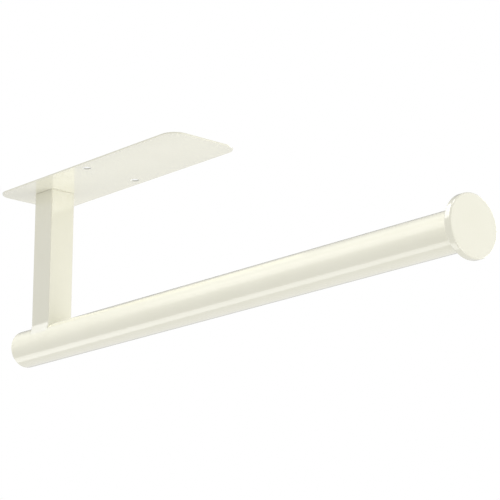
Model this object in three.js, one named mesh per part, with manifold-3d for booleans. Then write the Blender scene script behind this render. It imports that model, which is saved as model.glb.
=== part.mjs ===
// A paper towel holder for the underside of a cabinet. A thin steel plate is screwed up
// against the shelf, a square post hangs from one end of it, and a round bar is welded
// across the foot of the post. A disc on the bar's free end stops the roll.
//
// Millimetres, +Z up. The origin is the centre of the plate's top face, and the bar runs
// along +X towards the disc.

import * as THREE from 'three';
import * as BufferGeometryUtils from 'three/addons/utils/BufferGeometryUtils.js';
import Module from 'manifold-3d';

const wasm = await Module();
wasm.setup();

// Mounting plate
const PLATE_LENGTH = 150;
const PLATE_WIDTH = 44;
const PLATE_THICKNESS = 0.8;
const PLATE_CORNER_RADIUS = 8.5;
const SCREW_HOLE_DIAMETER = 4.5;
const SCREW_HOLE_SPACING = 32; // across the plate
const SCREW_HOLE_FROM_END = 72.5; // from the end of the plate that is over the post

// Post
const POST_SIDE = 15;
const POST_WALL = 1.2;
const POST_EDGE_RADIUS = 0.5;
const POST_FROM_BAR_END = 15; // from the bar's far end to the post's side
const WELD_GAP = 0.3; // between the post's coped end and the bar

// Bar
const BAR_LENGTH = 325;
const BAR_DIAMETER = 19.6;
const BAR_WALL = 1.2;
const BAR_DROP = 82.4; // from the plate's underside down to the bar's axis
const BAR_END_FROM_PLATE_END = 1; // the plate overhangs the bar's far end by this much

// Plug in the bar's far end: a cup with its floor flush with the tube's end
const PLUG_DEPTH = 8;
const PLUG_WALL = 1.2;
const SEAT_CLEARANCE = 0.1; // all round, between the tube's bore and what is pressed into it

// Stopper
const DISC_DIAMETER = 30;
const DISC_THICKNESS = 4;
const DISC_EDGE_RADIUS = 0.8;
const SPIGOT_LENGTH = 6;
const BUSH_LENGTH = 12;
const BUSH_FROM_SPIGOT = 0.5;
const STUD_DIAMETER = 6;
const STUD_IN_DISC = 2; // how far the stud goes into the disc, past its spigot
const STUD_IN_BUSH = 9.5;
const STUD_CHAMFER = 0.8;
const THREAD_CLEARANCE = 0.1; // all round, between the stud and its holes
const SOCKET_ACROSS_FLATS = 3;
const SOCKET_DEPTH = 3;

// How finely round things are divided
const ROUND_SEGMENTS = 64;
const SMALL_ROUND_SEGMENTS = 32;
const CORNER_SEGMENTS = 12;
const EDGE_SEGMENTS = 4;

// Places that more than one piece uses
const plateUnderside = -PLATE_THICKNESS;
const plateEnd = -PLATE_LENGTH / 2;
const barAxis = plateUnderside - BAR_DROP;
const barEnd = plateEnd + BAR_END_FROM_PLATE_END;
const barRadius = BAR_DIAMETER / 2;
const boreRadius = barRadius - BAR_WALL;
const seatRadius = boreRadius - SEAT_CLEARANCE;
const studRadius = STUD_DIAMETER / 2;
const studHoleRadius = studRadius + THREAD_CLEARANCE;

// A closed geometry as a solid that can be joined or cut.
function solidOf(geometry) {
  const bare = geometry.clone();
  bare.deleteAttribute('normal');
  bare.deleteAttribute('uv');
  const merged = BufferGeometryUtils.mergeVertices(bare);
  return new wasm.Manifold(new wasm.Mesh({
    numProp: 3,
    vertProperties: merged.getAttribute('position').array,
    triVerts: new Uint32Array(merged.getIndex().array),
  }));
}

// A cut solid as a geometry again, with a flat normal on each face.
function geometryOf(solid) {
  const cut = solid.getMesh();
  const indexed = new THREE.BufferGeometry();
  indexed.setAttribute('position', new THREE.BufferAttribute(cut.vertProperties, 3));
  indexed.setIndex(new THREE.BufferAttribute(cut.triVerts, 1));
  const geometry = indexed.toNonIndexed();
  geometry.computeVertexNormals();
  return geometry;
}

// A rectangle centred on the origin, with rounded corners.
function roundedRectangle(Outline, length, width, radius) {
  const x = length / 2 - radius;
  const y = width / 2 - radius;
  const outline = new Outline();
  outline.absarc(x, y, radius, 0, Math.PI / 2);
  outline.absarc(-x, y, radius, Math.PI / 2, Math.PI);
  outline.absarc(-x, -y, radius, Math.PI, 1.5 * Math.PI);
  outline.absarc(x, -y, radius, 1.5 * Math.PI, 2 * Math.PI);
  outline.closePath();
  return outline;
}

// A profile of [radius, distance along the bar] pairs, turned about the bar's axis.
// The profile runs so that the material is on its left, and +X is along the bar.
function turned(profile, segments = ROUND_SEGMENTS) {
  const points = profile.map(([radius, along]) => new THREE.Vector2(radius, along));
  const geometry = new THREE.LatheGeometry(points, segments);
  geometry.rotateZ(-Math.PI / 2);
  return geometry;
}

// A quarter round on a profile, from one angle to the next about its own centre.
function roundedEdge(radius, along, edgeRadius, startAngle) {
  return Array.from({ length: EDGE_SEGMENTS + 1 }, (_, step) => {
    const angle = startAngle + (step / EDGE_SEGMENTS) * (Math.PI / 2);
    return [radius + edgeRadius * Math.cos(angle), along + edgeRadius * Math.sin(angle)];
  });
}

function named(name, geometry, look, x, y, z) {
  const mesh = new THREE.Mesh(geometry, new THREE.MeshStandardMaterial(look));
  mesh.name = name;
  mesh.position.set(x, y, z);
  return mesh;
}

const creamPaint = { color: 0xf4f2e4, roughness: 0.25, metalness: 0 };
const zincPlate = { color: 0xb9bcbe, roughness: 0.35, metalness: 1 };
const brass = { color: 0xc9a860, roughness: 0.35, metalness: 1 };

// A thin plate with rounded corners and a screw hole near each long edge.
function mountingPlate() {
  const outline = roundedRectangle(THREE.Shape, PLATE_LENGTH, PLATE_WIDTH, PLATE_CORNER_RADIUS);
  const holeX = plateEnd + SCREW_HOLE_FROM_END;
  for (const side of [-1, 1]) {
    const hole = new THREE.Path();
    const holeY = (side * SCREW_HOLE_SPACING) / 2;
    hole.absarc(holeX, holeY, SCREW_HOLE_DIAMETER / 2, 0, 2 * Math.PI, true);
    outline.holes.push(hole);
  }
  const geometry = new THREE.ExtrudeGeometry(outline, {
    depth: PLATE_THICKNESS,
    bevelEnabled: false,
    curveSegments: CORNER_SEGMENTS,
  });
  return named('mounting_plate', geometry, creamPaint, 0, 0, plateUnderside);
}

// A square tube from the plate's underside down to the bar, coped to fit round the bar.
function post() {
  const inside = POST_SIDE - 2 * POST_WALL;
  const section = roundedRectangle(THREE.Shape, POST_SIDE, POST_SIDE, POST_EDGE_RADIUS);
  section.holes.push(roundedRectangle(THREE.Path, inside, inside, POST_EDGE_RADIUS));
  const tube = new THREE.ExtrudeGeometry(section, {
    depth: BAR_DROP,
    bevelEnabled: false,
    curveSegments: EDGE_SEGMENTS,
  });
  tube.translate(0, 0, -BAR_DROP);

  const copeLength = POST_SIDE + 2 * WELD_GAP;
  const copeRadius = barRadius + WELD_GAP;
  const cope = new THREE.CylinderGeometry(copeRadius, copeRadius, copeLength, ROUND_SEGMENTS);
  cope.rotateZ(Math.PI / 2);
  cope.translate(0, 0, -BAR_DROP);

  const geometry = geometryOf(solidOf(tube).subtract(solidOf(cope)));
  const centre = barEnd + POST_FROM_BAR_END + POST_SIDE / 2;
  return named('post', geometry, creamPaint, centre, 0, plateUnderside);
}

// A round tube, open at both ends until the plug and the stopper close it.
function barTube() {
  const geometry = turned([
    [boreRadius, 0],
    [barRadius, 0],
    [barRadius, BAR_LENGTH],
    [boreRadius, BAR_LENGTH],
    [boreRadius, 0],
  ]);
  return named('bar_tube', geometry, creamPaint, barEnd, 0, barAxis);
}

// A pressed cup in the bar's far end, with its floor flush with the tube's end.
function barEndPlug() {
  const insideRadius = seatRadius - PLUG_WALL;
  const geometry = turned([
    [0, 0],
    [seatRadius, 0],
    [seatRadius, PLUG_DEPTH],
    [insideRadius, PLUG_DEPTH],
    [insideRadius, PLUG_WALL],
    [0, PLUG_WALL],
  ]);
  return named('bar_end_plug', geometry, creamPaint, barEnd, 0, barAxis);
}

// A disc with rounded edges, and a spigot on its back that seats in the tube's bore and
// takes the stud. Its own zero is the disc's back face, which meets the tube's end.
function stopperDisc() {
  const edgeCentre = DISC_DIAMETER / 2 - DISC_EDGE_RADIUS;
  const geometry = turned([
    [0, STUD_IN_DISC],
    [studHoleRadius, STUD_IN_DISC],
    [studHoleRadius, -SPIGOT_LENGTH],
    [seatRadius, -SPIGOT_LENGTH],
    [seatRadius, 0],
    ...roundedEdge(edgeCentre, DISC_EDGE_RADIUS, DISC_EDGE_RADIUS, -Math.PI / 2),
    ...roundedEdge(edgeCentre, DISC_THICKNESS - DISC_EDGE_RADIUS, DISC_EDGE_RADIUS, 0),
    [0, DISC_THICKNESS],
  ]);
  return named('stopper_disc', geometry, creamPaint, barEnd + BAR_LENGTH, 0, barAxis);
}

// A threaded bush pressed into the bore, just inside the disc's spigot.
function stopperBush() {
  const geometry = turned([
    [studHoleRadius, -BUSH_LENGTH],
    [seatRadius, -BUSH_LENGTH],
    [seatRadius, 0],
    [studHoleRadius, 0],
    [studHoleRadius, -BUSH_LENGTH],
  ]);
  const end = barEnd + BAR_LENGTH - SPIGOT_LENGTH - BUSH_FROM_SPIGOT;
  return named('stopper_bush', geometry, brass, end, 0, barAxis);
}

// A set screw with a hexagon socket, from the disc through the spigot into the bush. It
// stops a clearance short of the bottom of its hole in the disc.
function stopperStud() {
  const reach = STUD_IN_DISC - THREAD_CLEARANCE;
  const length = reach + SPIGOT_LENGTH + BUSH_FROM_SPIGOT + STUD_IN_BUSH;
  const screw = turned([
    [0, -length],
    [studRadius - STUD_CHAMFER, -length],
    [studRadius, -length + STUD_CHAMFER],
    [studRadius, -STUD_CHAMFER],
    [studRadius - STUD_CHAMFER, 0],
    [0, 0],
  ], SMALL_ROUND_SEGMENTS);

  const socketRadius = SOCKET_ACROSS_FLATS / Math.sqrt(3);
  const socket = new THREE.CylinderGeometry(socketRadius, socketRadius, 2 * SOCKET_DEPTH, 6);
  socket.rotateZ(-Math.PI / 2);
  socket.translate(-length, 0, 0);

  const geometry = geometryOf(solidOf(screw).subtract(solidOf(socket)));
  return named('stopper_stud', geometry, zincPlate, barEnd + BAR_LENGTH + reach, 0, barAxis);
}

const holder = new THREE.Group();
holder.name = 'paper_towel_holder';
holder.add(mountingPlate(), post());
holder.add(barTube(), barEndPlug());
holder.add(stopperDisc(), stopperBush(), stopperStud());

export default holder;
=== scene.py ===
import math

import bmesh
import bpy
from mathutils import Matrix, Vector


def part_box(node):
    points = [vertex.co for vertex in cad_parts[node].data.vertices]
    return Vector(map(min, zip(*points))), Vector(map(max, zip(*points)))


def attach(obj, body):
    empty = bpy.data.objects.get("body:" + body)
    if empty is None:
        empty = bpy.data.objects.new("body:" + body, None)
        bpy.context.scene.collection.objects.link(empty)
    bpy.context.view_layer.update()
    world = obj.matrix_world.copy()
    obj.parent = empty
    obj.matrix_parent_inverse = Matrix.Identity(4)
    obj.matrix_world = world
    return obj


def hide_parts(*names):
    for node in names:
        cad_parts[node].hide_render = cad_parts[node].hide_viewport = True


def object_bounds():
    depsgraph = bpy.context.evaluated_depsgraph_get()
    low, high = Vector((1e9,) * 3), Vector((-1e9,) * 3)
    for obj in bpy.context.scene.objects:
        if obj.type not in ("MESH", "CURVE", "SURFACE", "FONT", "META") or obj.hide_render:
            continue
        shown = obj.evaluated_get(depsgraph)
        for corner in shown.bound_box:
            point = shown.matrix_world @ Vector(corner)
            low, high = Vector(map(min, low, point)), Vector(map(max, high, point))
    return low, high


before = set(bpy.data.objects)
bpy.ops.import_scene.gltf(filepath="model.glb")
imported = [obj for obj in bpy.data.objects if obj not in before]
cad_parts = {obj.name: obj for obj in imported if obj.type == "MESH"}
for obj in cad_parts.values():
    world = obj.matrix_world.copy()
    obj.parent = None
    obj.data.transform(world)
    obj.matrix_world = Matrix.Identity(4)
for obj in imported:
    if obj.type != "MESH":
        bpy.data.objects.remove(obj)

# A paper towel holder for the underside of a cabinet, in gloss cream powder coat.
#
# Metres, +Z up. The origin is the centre of the mounting plate's top face, and the bar runs
# along +X to the stopper. Every piece takes its place from the box of the CAD node that it
# stands for, and nothing on the holder moves, so every piece rides on the one body.

BODY = "root"
MM = 0.001

# Sizes that a node's box doesn't give
PLATE_CORNER_RADIUS = 8.5 * MM
PLATE_RIM_RADIUS = 0.16 * MM
SCREW_HOLE_RADIUS = 2.25 * MM
SCREW_HOLE_SPACING = 32 * MM
SCREW_HOLE_FROM_END = 72.5 * MM
POST_WALL = 1.2 * MM
POST_EDGE_RADIUS = 0.5 * MM
POST_TOP_RADIUS = 0.2 * MM
FOOT_RADIUS = 15 * MM      # fillet between the bar and the front or back of the post
BAR_WALL = 1.2 * MM
BAR_END_RADIUS = 0.3 * MM
PLUG_WALL = 1.2 * MM
PLUG_EDGE_RADIUS = 0.3 * MM
DISC_EDGE_RADIUS = 0.8 * MM
STUD_RADIUS = 3 * MM
STUD_CHAMFER = 0.8 * MM
SOCKET_ACROSS_FLATS = 3 * MM
SOCKET_DEPTH = 3 * MM
THREAD_CLEARANCE = 0.1 * MM
STUD_HOLE_RADIUS = STUD_RADIUS + THREAD_CLEARANCE
THREAD_PITCH = 1 * MM
THREAD_DEPTH = 0.5 * MM
THREAD_SLOPE = 1.3         # flanks this much steeper than a sharp V's leave a flat crest and root
BUSH_CHAMFER = 0.4 * MM
KNURL_DEPTH = 0.2 * MM
KNURL_GROOVE = 2 * MM      # width of the plain groove round the middle of the knurling
BURIED = 0.02 * MM         # how far the post's foot goes into the bar's surface

# How finely things are divided
ROUND_STEPS = 192          # sides of the bar, the plug and the stopper
HOLE_STEPS = 64            # sides of a screw hole
CORNER_STEPS = 24          # facets round a corner of the plate
EDGE_STEPS = 3             # facets round a small edge
DISC_EDGE_STEPS = 8
POST_EDGE_STEPS = 6
POST_RINGS = (0.25, 0.5, 0.75, 0.9)    # places down the straight part of the post
FOOT_STEPS = 12            # rings in the post's sweep into the bar
BAR_CUTS = 12              # cross-sections added between the bar's ends
THREAD_STEPS = 48          # sides of a thread, and half the sides of the bush's knurling
STUD_RINGS = (16, 8)       # the stud's shank is divided by the first, and each part by the second
BORE_RINGS = 96            # divisions along the bush's threaded bore
KNURL_RINGS = 24           # divisions along its knurling

cad_low, cad_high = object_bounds()


# Working with Blender's own modelling tools ------------------------------------------

def work_alone(piece):
    """Makes this the only selected object, in object mode."""
    if bpy.context.object and bpy.context.object.mode != "OBJECT":
        bpy.ops.object.mode_set(mode="OBJECT")
    bpy.ops.object.select_all(action="DESELECT")
    piece.select_set(True)
    bpy.context.view_layer.objects.active = piece


def begin(name):
    """Names the primitive just added, puts its place in its mesh and opens it for editing."""
    piece = bpy.context.object
    piece.name = piece.data.name = name
    work_alone(piece)
    bpy.ops.object.transform_apply(location=True, rotation=True, scale=True)
    bpy.ops.object.mode_set(mode="EDIT")
    bpy.ops.mesh.select_all(action="DESELECT")
    return piece


def pick(piece, kind, wanted):
    """Selects only the faces, edges or verts for which wanted(part) is true."""
    bpy.ops.mesh.select_mode(type={"faces": "FACE", "edges": "EDGE", "verts": "VERT"}[kind])
    bpy.ops.mesh.select_all(action="DESELECT")
    cage = bmesh.from_edit_mesh(piece.data)
    for part in getattr(cage, kind):
        if wanted(part):
            part.select_set(True)
    bmesh.update_edit_mesh(piece.data)


def extrude(move):
    bpy.ops.mesh.extrude_region_move(TRANSFORM_OT_translate={"value": move})


def bevel(width, segments):
    bpy.ops.mesh.bevel(offset=width, segments=segments, affect="EDGES", profile=0.5)


def both(edge, test):
    """True if both ends of an edge pass the test."""
    return all(test(v.co) for v in edge.verts)


def close_to(a, b):
    return abs(a - b) < 0.01 * MM


def length_along_bar(edge):
    return abs(edge.verts[0].co.x - edge.verts[1].co.x)


def lies_at(edge, *places):
    """True if an edge goes across the bar's direction at one of these places along it."""
    return any(both(edge, lambda co: close_to(co.x, place)) for place in places)


def radius_and_axis(low, high):
    """The radius of a round node with this box, and the height of its axis."""
    return (high.z - low.z) / 2, (low.z + high.z) / 2


def from_axis(co, axis):
    """How far a place is from the axis at this height."""
    return math.hypot(co.y, co.z - axis)


def add_rod(start, end, radius, axis, sides):
    """Adds a solid rod along the bar's direction, on the axis at this height."""
    bpy.ops.mesh.primitive_cylinder_add(
        vertices=sides, radius=radius, depth=end - start,
        location=((start + end) / 2, 0, axis), rotation=(0, math.pi / 2, 0))


def hollow_out(piece, wall):
    """Bores a rod through from end to end, and leaves a wall this thick."""
    pick(piece, "faces", lambda f: abs(f.normal.x) > 0.9)
    bpy.ops.mesh.inset(thickness=wall, use_individual=True)
    bpy.ops.mesh.delete(type="FACE")
    pick(piece, "edges", lambda e: e.is_boundary)
    bpy.ops.mesh.bridge_edge_loops()


def drill(piece, cutter):
    """Cuts the cutter's shape out of the piece and clears the cutter away."""
    work_alone(piece)
    cut = piece.modifiers.new("cut", "BOOLEAN")
    cut.operation = "DIFFERENCE"
    cut.object = cutter
    bpy.ops.object.modifier_apply(modifier=cut.name)
    bpy.data.objects.remove(cutter)


def divide(piece, length, *counts):
    """Divides the edges of this length along the bar, and then their parts, by each count in turn."""
    for count in counts:
        pick(piece, "edges", lambda e: close_to(length_along_bar(e), length))
        bpy.ops.mesh.subdivide(number_cuts=count - 1)
        length /= count


def wind_thread(piece, wanted, axis, ends, depth):
    """Cuts a thread into the round surface that wanted(co) picks, fading at its ends.

    A positive depth goes towards the axis, and a negative one, as in a bore, away from it.
    """
    cage = bmesh.from_edit_mesh(piece.data)
    for v in cage.verts:
        if wanted(v.co):
            turn = math.atan2(v.co.z - axis, v.co.y) / math.tau
            across = (v.co.x / THREAD_PITCH - turn) % 1
            flank = THREAD_SLOPE * abs(2 * across - 1) - (THREAD_SLOPE - 1) / 2
            crest = min(max(flank, 0), 1)
            fade = max(min(v.co.x - ends[0], ends[1] - v.co.x, THREAD_PITCH) / THREAD_PITCH, 0)
            share = 1 - depth * (1 - crest) * fade / from_axis(v.co, axis)
            v.co.y *= share
            v.co.z = axis + (v.co.z - axis) * share
    bmesh.update_edit_mesh(piece.data)


def finish_piece(piece, material, slot, *nodes, smooth=30):
    """Closes the edit, shades the piece, and ties it to the frame."""
    bpy.ops.object.mode_set(mode="OBJECT")
    work_alone(piece)
    bpy.ops.object.shade_smooth_by_angle(angle=math.radians(smooth))
    even = piece.modifiers.new("even_shading", "WEIGHTED_NORMAL")
    even.keep_sharp = True
    bpy.ops.object.modifier_apply(modifier=even.name)
    piece.data.materials.clear()
    piece.data.materials.append(material)
    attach(piece, BODY)
    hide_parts(*nodes)
    return piece


# Finishes ------------------------------------------------------------------------------

def node_maker(material):
    """Short calls for adding and linking nodes in a material or a world."""
    material.use_nodes = True
    tree = material.node_tree
    tree.nodes.clear()

    def add(kind, **settings):
        node = tree.nodes.new(kind)
        for key, value in settings.items():
            if key in node.inputs:
                node.inputs[key].default_value = value
            else:
                setattr(node, key, value)
        return node

    def link(source, socket, target, target_socket):
        tree.links.new(source.outputs[socket], target.inputs[target_socket])

    return add, link


def cream_powder_coat():
    """Gloss cream powder coat: a faint orange peel, a very slight unevenness of tint, and painted
    shade: the walls of the screw holes are coloured grey to stand in for the shade down in them."""
    material = bpy.data.materials.new("cream_powder_coat")
    add, link = node_maker(material)
    out = add("ShaderNodeOutputMaterial")
    paint = add("ShaderNodeBsdfPrincipled", **{
        "Roughness": 0.16, "IOR": 1.6, "Coat Weight": 1.0, "Coat Roughness": 0.08, "Coat IOR": 1.6})
    place = add("ShaderNodeTexCoord")

    mottle = add("ShaderNodeTexNoise", Scale=60.0, Detail=3.0)
    tint = add("ShaderNodeValToRGB")
    tint.color_ramp.elements[0].position = 0.3
    tint.color_ramp.elements[0].color = (0.875, 0.858, 0.715, 1)
    tint.color_ramp.elements[1].position = 0.7
    tint.color_ramp.elements[1].color = (0.89, 0.873, 0.735, 1)
    link(place, "Object", mottle, "Vector")
    link(mottle, "Fac", tint, "Fac")

    # Painted shade: a grey colour on the walls of the screw holes stands in for the shade down in them
    plate_low, plate_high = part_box("mounting_plate")
    parts = add("ShaderNodeSeparateXYZ")
    either_side = add("ShaderNodeMath", operation="ABSOLUTE")
    across_plate = add("ShaderNodeCombineXYZ")
    from_hole = add("ShaderNodeVectorMath", operation="DISTANCE")
    from_hole.inputs[1].default_value = (plate_low.x + SCREW_HOLE_FROM_END, SCREW_HOLE_SPACING / 2, 0)
    hole_shade_mask = add("ShaderNodeMapRange", **{
        "From Min": SCREW_HOLE_RADIUS + 0.01 * MM, "From Max": SCREW_HOLE_RADIUS + 0.03 * MM,
        "To Min": 1.0, "To Max": 0.0})
    painted_hole_shade = add("ShaderNodeMix", data_type="RGBA")
    painted_hole_shade.inputs[7].default_value = (0.66, 0.66, 0.6, 1)
    link(place, "Object", parts, "Vector")
    link(parts, "Y", either_side, 0)
    link(parts, "X", across_plate, "X")
    link(either_side, "Value", across_plate, "Y")
    link(across_plate, "Vector", from_hole, 0)
    link(from_hole, "Value", hole_shade_mask, "Value")
    link(hole_shade_mask, "Result", painted_hole_shade, 0)
    link(tint, "Color", painted_hole_shade, 6)
    link(painted_hole_shade, 2, paint, "Base Color")

    peel = add("ShaderNodeTexNoise", Scale=420.0, Detail=2.0)
    relief = add("ShaderNodeBump", Strength=0.05, Distance=0.0002)
    link(place, "Object", peel, "Vector")
    link(peel, "Fac", relief, "Height")
    link(relief, "Normal", paint, "Normal")
    link(paint, "BSDF", out, "Surface")
    return material


def plain_metal(name, color, roughness):
    """Turned or plated metal with a fine grain round its axis."""
    material = bpy.data.materials.new(name)
    add, link = node_maker(material)
    out = add("ShaderNodeOutputMaterial")
    metal = add("ShaderNodeBsdfPrincipled", Metallic=1.0)
    place = add("ShaderNodeTexCoord")
    grain = add("ShaderNodeTexNoise", Scale=900.0, Detail=4.0)
    shade = add("ShaderNodeValToRGB")
    shade.color_ramp.elements[0].color = (*[c * 0.85 for c in color], 1)
    shade.color_ramp.elements[1].color = (*color, 1)
    rough = add("ShaderNodeMapRange", **{"To Min": roughness * 0.8, "To Max": roughness * 1.2})
    link(place, "Object", grain, "Vector")
    link(grain, "Fac", shade, "Fac")
    link(grain, "Fac", rough, "Value")
    link(shade, "Color", metal, "Base Color")
    link(rough, "Result", metal, "Roughness")
    link(metal, "BSDF", out, "Surface")
    return material


# Pieces --------------------------------------------------------------------------------

def make_plate(paint):
    """A thin sheet with rounded corners, two screw holes and softly rounded rims."""
    low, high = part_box("mounting_plate")
    size = high - low
    bpy.ops.mesh.primitive_cube_add(size=1, location=(low + high) / 2, scale=size)
    plate = begin("plate_sheet")
    pick(plate, "edges", lambda e: abs(e.verts[0].co.z - e.verts[1].co.z) > size.z / 2)
    bevel(PLATE_CORNER_RADIUS, CORNER_STEPS)
    pick(plate, "edges", lambda e: both(e, lambda co: close_to(co.z, low.z))
         or both(e, lambda co: close_to(co.z, high.z)))
    bevel(PLATE_RIM_RADIUS, EDGE_STEPS)
    bpy.ops.object.mode_set(mode="OBJECT")

    for side in (-1, 1):
        bpy.ops.mesh.primitive_cylinder_add(
            vertices=HOLE_STEPS, radius=SCREW_HOLE_RADIUS, depth=4 * size.z,
            location=(low.x + SCREW_HOLE_FROM_END, side * SCREW_HOLE_SPACING / 2, (low.z + high.z) / 2))
        drill(plate, bpy.context.object)
    bpy.ops.object.mode_set(mode="EDIT")
    return finish_piece(plate, paint, "cream_paint", "mounting_plate")


def make_bar(paint):
    """A round tube with softly rounded ends."""
    low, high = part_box("bar_tube")
    radius, axis = radius_and_axis(low, high)
    add_rod(low.x, high.x, radius, axis, ROUND_STEPS)
    bar = begin("bar")
    hollow_out(bar, BAR_WALL)
    pick(bar, "edges", lambda e: lies_at(e, low.x, high.x)
         and both(e, lambda co: close_to(from_axis(co, axis), radius)))
    bevel(BAR_END_RADIUS, EDGE_STEPS)
    pick(bar, "edges", lambda e: length_along_bar(e) > (high.x - low.x) / 2)
    bpy.ops.mesh.subdivide(number_cuts=BAR_CUTS)
    return finish_piece(bar, paint, "cream_paint", "bar_tube")


def make_plug(paint):
    """A pressed cup that closes the bar's far end, its floor flush with the tube's."""
    low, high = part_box("bar_end_plug")
    radius, axis = radius_and_axis(low, high)
    add_rod(low.x, high.x, radius, axis, ROUND_STEPS)
    plug = begin("end_plug")
    pick(plug, "faces", lambda f: f.normal.x > 0.9)
    bpy.ops.mesh.inset(thickness=PLUG_WALL)
    extrude((low.x + PLUG_WALL - high.x, 0, 0))
    pick(plug, "edges", lambda e: lies_at(e, low.x))
    bevel(PLUG_EDGE_RADIUS, EDGE_STEPS)
    return finish_piece(plug, paint, "cream_paint", "bar_end_plug")


def make_stopper(paint):
    """A turned disc with rounded edges and a bored spigot that seats in the bar."""
    low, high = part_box("stopper_disc")
    radius, axis = radius_and_axis(low, high)
    seat_radius = radius_and_axis(*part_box("stopper_bush"))[0]
    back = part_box("bar_tube")[1].x
    stud_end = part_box("stopper_stud")[1].x
    add_rod(back, high.x, radius, axis, ROUND_STEPS)
    stopper = begin("stopper")
    pick(stopper, "edges", lambda e: lies_at(e, back, high.x))
    bevel(DISC_EDGE_RADIUS, DISC_EDGE_STEPS)
    pick(stopper, "faces", lambda f: f.normal.x < -0.999)
    bpy.ops.mesh.inset(thickness=radius - DISC_EDGE_RADIUS - seat_radius)
    extrude((low.x - back, 0, 0))
    bpy.ops.mesh.inset(thickness=seat_radius - STUD_HOLE_RADIUS)
    extrude((stud_end + THREAD_CLEARANCE - low.x, 0, 0))
    return finish_piece(stopper, paint, "cream_paint", "stopper_disc")


def make_post(paint):
    """A square tube whose foot is coped to the bar, and sweeps into it at front and back."""
    low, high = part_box("post")
    radius, axis = radius_and_axis(*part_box("bar_tube"))
    half = (high.x - low.x) / 2
    centre = Vector(((low.x + high.x) / 2, 0, high.z))

    bpy.ops.mesh.primitive_plane_add(size=2 * half, location=centre)
    post = begin("post_tube")
    pick(post, "verts", lambda v: True)
    bpy.ops.mesh.bevel(offset=POST_EDGE_RADIUS, segments=POST_EDGE_STEPS, affect="VERTICES")
    bpy.ops.mesh.select_all(action="SELECT")
    bpy.ops.mesh.delete(type="ONLY_FACE")
    bpy.ops.mesh.select_mode(type="EDGE")
    bpy.ops.mesh.select_all(action="SELECT")

    def on_bar(y):
        """Height just inside the bar's surface."""
        return axis + math.sqrt(radius * radius - y * y) - BURIED

    def set_ring(half_x, half_y, height):
        """Gives the selected ring this reach each way, and the height that its y calls for."""
        cage = bmesh.from_edit_mesh(post.data)
        picked = [v for v in cage.verts if v.select]
        share_x = half_x / max(abs(v.co.x - centre.x) for v in picked)
        share_y = half_y / max(abs(v.co.y) for v in picked)
        for v in picked:
            v.co.x = centre.x + (v.co.x - centre.x) * share_x
            v.co.y *= share_y
            v.co.z = height(v.co.y)
        bmesh.update_edit_mesh(post.data)

    def next_ring(half_x, half_y, height):
        bpy.ops.mesh.extrude_edges_move(TRANSFORM_OT_translate={"value": (0, 0, -0.1 * MM)})
        set_ring(half_x, half_y, height)

    # The rounded top edge
    in_top = half - POST_TOP_RADIUS
    set_ring(in_top, in_top, lambda y: high.z)
    for step in range(1, EDGE_STEPS + 1):
        turn = step / EDGE_STEPS * math.pi / 2
        reach = in_top + POST_TOP_RADIUS * math.sin(turn)
        drop = POST_TOP_RADIUS * (1 - math.cos(turn))
        next_ring(reach, reach, lambda y: high.z - drop)

    # The straight sides, down to where an arc that touches both them and the bar begins
    foot_top = math.sqrt((radius + FOOT_RADIUS) ** 2 - (half + FOOT_RADIUS) ** 2)
    straight = high.z - (axis + foot_top)
    for share in POST_RINGS:
        next_ring(half, half, lambda y: high.z - straight * share)

    # The foot: the front and back follow the arc, and the sides change from level to the cope
    full_turn = math.atan2(foot_top, half + FOOT_RADIUS)
    for step in range(FOOT_STEPS + 1):
        share = step / FOOT_STEPS
        turn = share * full_turn
        reach = half + FOOT_RADIUS * (1 - math.cos(turn))
        front = axis + foot_top - FOOT_RADIUS * math.sin(turn)
        next_ring(half, reach, lambda y: front + share * (on_bar(y) - on_bar(reach) - BURIED))

    # The inner wall, joined to the outer one at the foot and the top
    in_wall = half - POST_WALL
    next_ring(in_wall, in_wall, on_bar)
    next_ring(in_wall, in_wall, lambda y: high.z)
    pick(post, "edges", lambda e: e.is_boundary)
    bpy.ops.mesh.bridge_edge_loops()
    bpy.ops.mesh.select_all(action="SELECT")
    bpy.ops.mesh.normals_make_consistent(inside=False)
    return finish_piece(post, paint, "cream_paint", "post", smooth=40)


def make_stud(zinc):
    """A set screw with a rolled thread, chamfered ends and a hexagon socket."""
    low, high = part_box("stopper_stud")
    radius, axis = radius_and_axis(low, high)
    add_rod(low.x, high.x, radius, axis, THREAD_STEPS)
    stud = begin("stud")
    pick(stud, "edges", lambda e: lies_at(e, low.x, high.x))
    bevel(STUD_CHAMFER, 2)
    bpy.ops.object.mode_set(mode="OBJECT")
    add_rod(low.x - SOCKET_DEPTH, low.x + SOCKET_DEPTH, SOCKET_ACROSS_FLATS / math.sqrt(3), axis, 6)
    drill(stud, bpy.context.object)
    bpy.ops.object.mode_set(mode="EDIT")
    divide(stud, high.x - low.x - 2 * STUD_CHAMFER, *STUD_RINGS)
    wind_thread(stud, lambda co: from_axis(co, axis) > radius * 0.97, axis,
                (low.x + STUD_CHAMFER / 2, high.x - STUD_CHAMFER / 2), THREAD_DEPTH)
    return finish_piece(stud, zinc, "zinc_plate", "stopper_stud", smooth=50)


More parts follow.
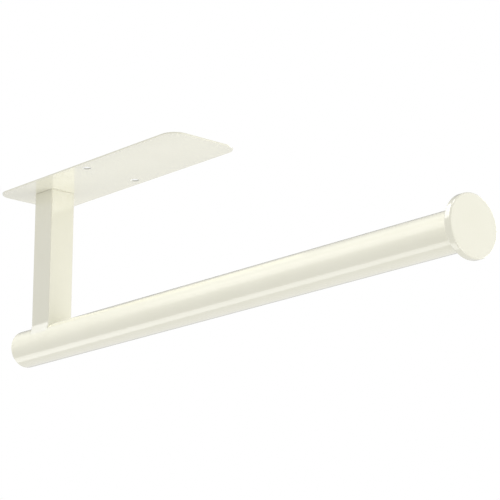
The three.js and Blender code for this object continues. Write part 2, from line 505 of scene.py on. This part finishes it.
def make_bush(brass):
    """A turned bush, knurled on both sides of a plain groove and threaded inside."""
    low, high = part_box("stopper_bush")
    radius, axis = radius_and_axis(low, high)
    length = high.x - low.x
    knurl_steps = 2 * THREAD_STEPS
    add_rod(low.x, high.x, radius, axis, knurl_steps)
    bush = begin("bush")
    hollow_out(bush, radius - STUD_HOLE_RADIUS)
    pick(bush, "edges", lambda e: lies_at(e, low.x, high.x)
         and both(e, lambda co: close_to(from_axis(co, axis), radius)))
    bevel(BUSH_CHAMFER, 1)
    divide(bush, length, BORE_RINGS)
    divide(bush, length - 2 * BUSH_CHAMFER, KNURL_RINGS)
    wind_thread(bush, lambda co: from_axis(co, axis) < STUD_HOLE_RADIUS * 1.01, axis,
                (low.x, high.x), -THREAD_DEPTH)

    middle = (low.x + high.x) / 2
    cage = bmesh.from_edit_mesh(bush.data)
    for v in cage.verts:
        if close_to(from_axis(v.co, axis), radius):
            tooth = round(math.atan2(v.co.z - axis, v.co.y) / math.tau * knurl_steps)
            in_groove = abs(v.co.x - middle) < KNURL_GROOVE / 2
            sink = 2 * KNURL_DEPTH if in_groove else KNURL_DEPTH * (tooth % 2)
            v.co.y *= 1 - sink / radius
            v.co.z = axis + (v.co.z - axis) * (1 - sink / radius)
    bmesh.update_edit_mesh(bush.data)
    return finish_piece(bush, brass, "brass", "stopper_bush", smooth=30)


# Surroundings --------------------------------------------------------------------------

AMBIENT_LEVEL = 0.72       # brightness of the surround as a light, where 1 is white
DIM_LEVEL = 0.38           # and in its one dim part
DIM_SIDE = (143, 30)       # azimuth and elevation of the dim part
DIM_SPREAD = (15, 40)      # half angles over which it fades out
HORIZON_LEVEL = 0.62       # what is seen at eye level, where the floor ends
WHITE_ABOVE = 8.5          # elevation above which pure white is seen
FLOOR_DROP = 0.6           # from the holder's lowest point down to the floor
FLOOR_SIZE = 30
LIGHT_DISTANCE = 3.0       # from the middle of the holder
PLATE, POST, BAR, STOPPER = ("plate_sheet",), ("post_tube",), ("bar", "end_plug"), ("stopper",)
INSIDES = ("stud", "bush")
WHOLE = PLATE + POST + BAR + STOPPER + INSIDES
STUDIO_LIGHTS = (
    # name, azimuth and elevation, half angles across and along the bar (degrees), brightness
    # and the pieces that it falls on
    ("overhead_light", 270, 76, 6, 20, 4.3, PLATE + BAR + STOPPER + INSIDES),
    ("back_light", 80, 10, 25, 25, 1.9, PLATE + BAR + STOPPER + INSIDES),
    ("low_right_light", 40, -40, 22, 22, 1.66, PLATE + POST + BAR + INSIDES),
    ("low_left_light", 196, -42, 10, 28, 1.0, WHOLE),
    # On one piece or group of pieces only
    ("low_back_light", 138, -17, 14, 14, 0.08, PLATE + POST),
    ("side_light", 5, 15, 20, 20, 0.85, POST),
    ("foot_light", 207, 32, 13, 7, 1.3, POST),
    ("foot_fade_light", 217, 24, 5, 7, 0.5, POST),
    ("bar_top_light", 260, 60, 14, 25, 2.8, BAR),
    ("bar_front_light", 240, 30, 14, 25, 0.45, BAR),
    ("low_face_light", 5, -30, 18, 18, 1.5, STOPPER),
    ("rim_light", 209, 35, 20, 10, 2.2, STOPPER),
    ("face_light", 41, 15, 20, 20, 0.24, STOPPER),
)


def direction(azimuth, elevation):
    """The way towards this azimuth, from +X, and elevation, in degrees."""
    azimuth, elevation = math.radians(azimuth), math.radians(elevation)
    return Vector((math.cos(elevation) * math.cos(azimuth),
                   math.cos(elevation) * math.sin(azimuth),
                   math.sin(elevation)))


def set_world():
    """A surround that is white to look at above eye level, and lights evenly but for one dim part."""
    world = bpy.data.worlds.new("white_studio")
    bpy.context.scene.world = world
    add, link = node_maker(world)
    out = add("ShaderNodeOutputWorld")
    seen = add("ShaderNodeBackground", Color=(1, 1, 1, 1))
    ambient = add("ShaderNodeBackground", Color=(1, 1, 1, 1))
    way = add("ShaderNodeTexCoord")
    nearness = add("ShaderNodeVectorMath", operation="DOT_PRODUCT")
    nearness.inputs[1].default_value = direction(*DIM_SIDE)
    fade = add("ShaderNodeMapRange", interpolation_type="SMOOTHSTEP", **{
        "From Min": math.cos(math.radians(DIM_SPREAD[1])),
        "From Max": math.cos(math.radians(DIM_SPREAD[0])),
        "To Min": AMBIENT_LEVEL, "To Max": DIM_LEVEL})
    height = add("ShaderNodeSeparateXYZ")
    rise = add("ShaderNodeMapRange", interpolation_type="SMOOTHSTEP", **{
        "From Min": 0.0, "From Max": math.sin(math.radians(WHITE_ABOVE)),
        "To Min": HORIZON_LEVEL, "To Max": 1.0})
    ray = add("ShaderNodeLightPath")
    choose = add("ShaderNodeMixShader")
    link(way, "Generated", nearness, 0)
    link(nearness, "Value", fade, "Value")
    link(fade, "Result", ambient, "Strength")
    link(way, "Generated", height, "Vector")
    link(height, "Z", rise, "Value")
    link(rise, "Result", seen, "Strength")
    link(ray, "Is Camera Ray", choose, 0)
    link(ambient, "Background", choose, 1)
    link(seen, "Background", choose, 2)
    link(choose, "Shader", out, "Surface")


def add_light(name, azimuth, elevation, across, along, brightness, lit_pieces):
    """A soft light that faces the middle of the holder, with its sides square to the bar.

    It falls on the named pieces only, so never on the floor.
    """
    middle = (cad_low + cad_high) / 2
    away = direction(azimuth, elevation)
    across_bar = away.cross(Vector((1, 0, 0))).normalized()
    along_bar = away.cross(across_bar)
    data = bpy.data.lights.new(name, "AREA")
    data.shape = "RECTANGLE"
    data.size = 2 * LIGHT_DISTANCE * math.tan(math.radians(across))
    data.size_y = 2 * LIGHT_DISTANCE * math.tan(math.radians(along))
    data.energy = brightness * math.pi * data.size * data.size_y
    light = bpy.data.objects.new(name, data)
    bpy.context.scene.collection.objects.link(light)
    turn = Matrix((across_bar, along_bar, away)).transposed()
    light.matrix_world = Matrix.Translation(middle + away * LIGHT_DISTANCE) @ turn.to_4x4()
    light.visible_camera = False
    lit = bpy.data.collections.new(name + "_falls_on")
    for piece in lit_pieces:
        lit.objects.link(bpy.data.objects[piece])
    light.light_linking.receiver_collection = lit


def set_floor():
    """A pale floor well below the holder, which neither shades it nor lights it."""
    bpy.ops.mesh.primitive_plane_add(size=FLOOR_SIZE, location=(0, 0, cad_low.z - FLOOR_DROP))
    floor = bpy.context.object
    floor.name = "floor"
    floor.visible_diffuse = floor.visible_glossy = floor.visible_shadow = False
    material = bpy.data.materials.new("pale_floor")
    add, link = node_maker(material)
    out = add("ShaderNodeOutputMaterial")
    matt = add("ShaderNodeBsdfPrincipled", Roughness=0.8)
    matt.inputs["Base Color"].default_value = (0.9, 0.9, 0.9, 1)
    link(matt, "BSDF", out, "Surface")
    floor.data.materials.append(material)


CAMERA_PLACE = Vector((0.90762, -0.70549, -0.35552))
VIEW_AZIMUTH = math.radians(48.58)        # of the camera seen from the holder, from -Y towards +X
VIEW_ELEVATION = math.radians(-15.27)
VIEW_ROLL = math.radians(0.176)
VIEW_LENS = 164.87                        # focal length in millimetres


def set_camera():
    """A long lens from below and in front of the bar's free end."""
    data = bpy.data.cameras.new("camera")
    camera = bpy.data.objects.new("camera", data)
    bpy.context.scene.collection.objects.link(camera)
    data.sensor_width = 36
    data.lens = VIEW_LENS
    data.clip_start = 0.01
    back = Vector((math.sin(VIEW_AZIMUTH) * math.cos(VIEW_ELEVATION),
                   -math.cos(VIEW_AZIMUTH) * math.cos(VIEW_ELEVATION),
                   math.sin(VIEW_ELEVATION)))
    right = Vector((math.cos(VIEW_AZIMUTH), math.sin(VIEW_AZIMUTH), 0))
    up = back.cross(right)
    turned_right = right * math.cos(VIEW_ROLL) + up * math.sin(VIEW_ROLL)
    turned_up = up * math.cos(VIEW_ROLL) - right * math.sin(VIEW_ROLL)
    turn = Matrix((turned_right, turned_up, back)).transposed()
    camera.matrix_world = Matrix.Translation(CAMERA_PLACE) @ turn.to_4x4()
    bpy.context.scene.camera = camera


def set_look():
    scene = bpy.context.scene
    scene.view_settings.view_transform = "Standard"
    scene.view_settings.look = "None"


bpy.ops.object.select_all(action="DESELECT")
set_camera()
set_world()
set_floor()
set_look()

cream = cream_powder_coat()
make_plate(cream)
make_bar(cream)
make_plug(cream)
make_stopper(cream)
make_post(cream)

make_bush(plain_metal("turned_brass", (0.79, 0.62, 0.32), 0.3))
make_stud(plain_metal("bright_zinc", (0.72, 0.73, 0.75), 0.35))

for studio_light in STUDIO_LIGHTS:
    add_light(*studio_light)
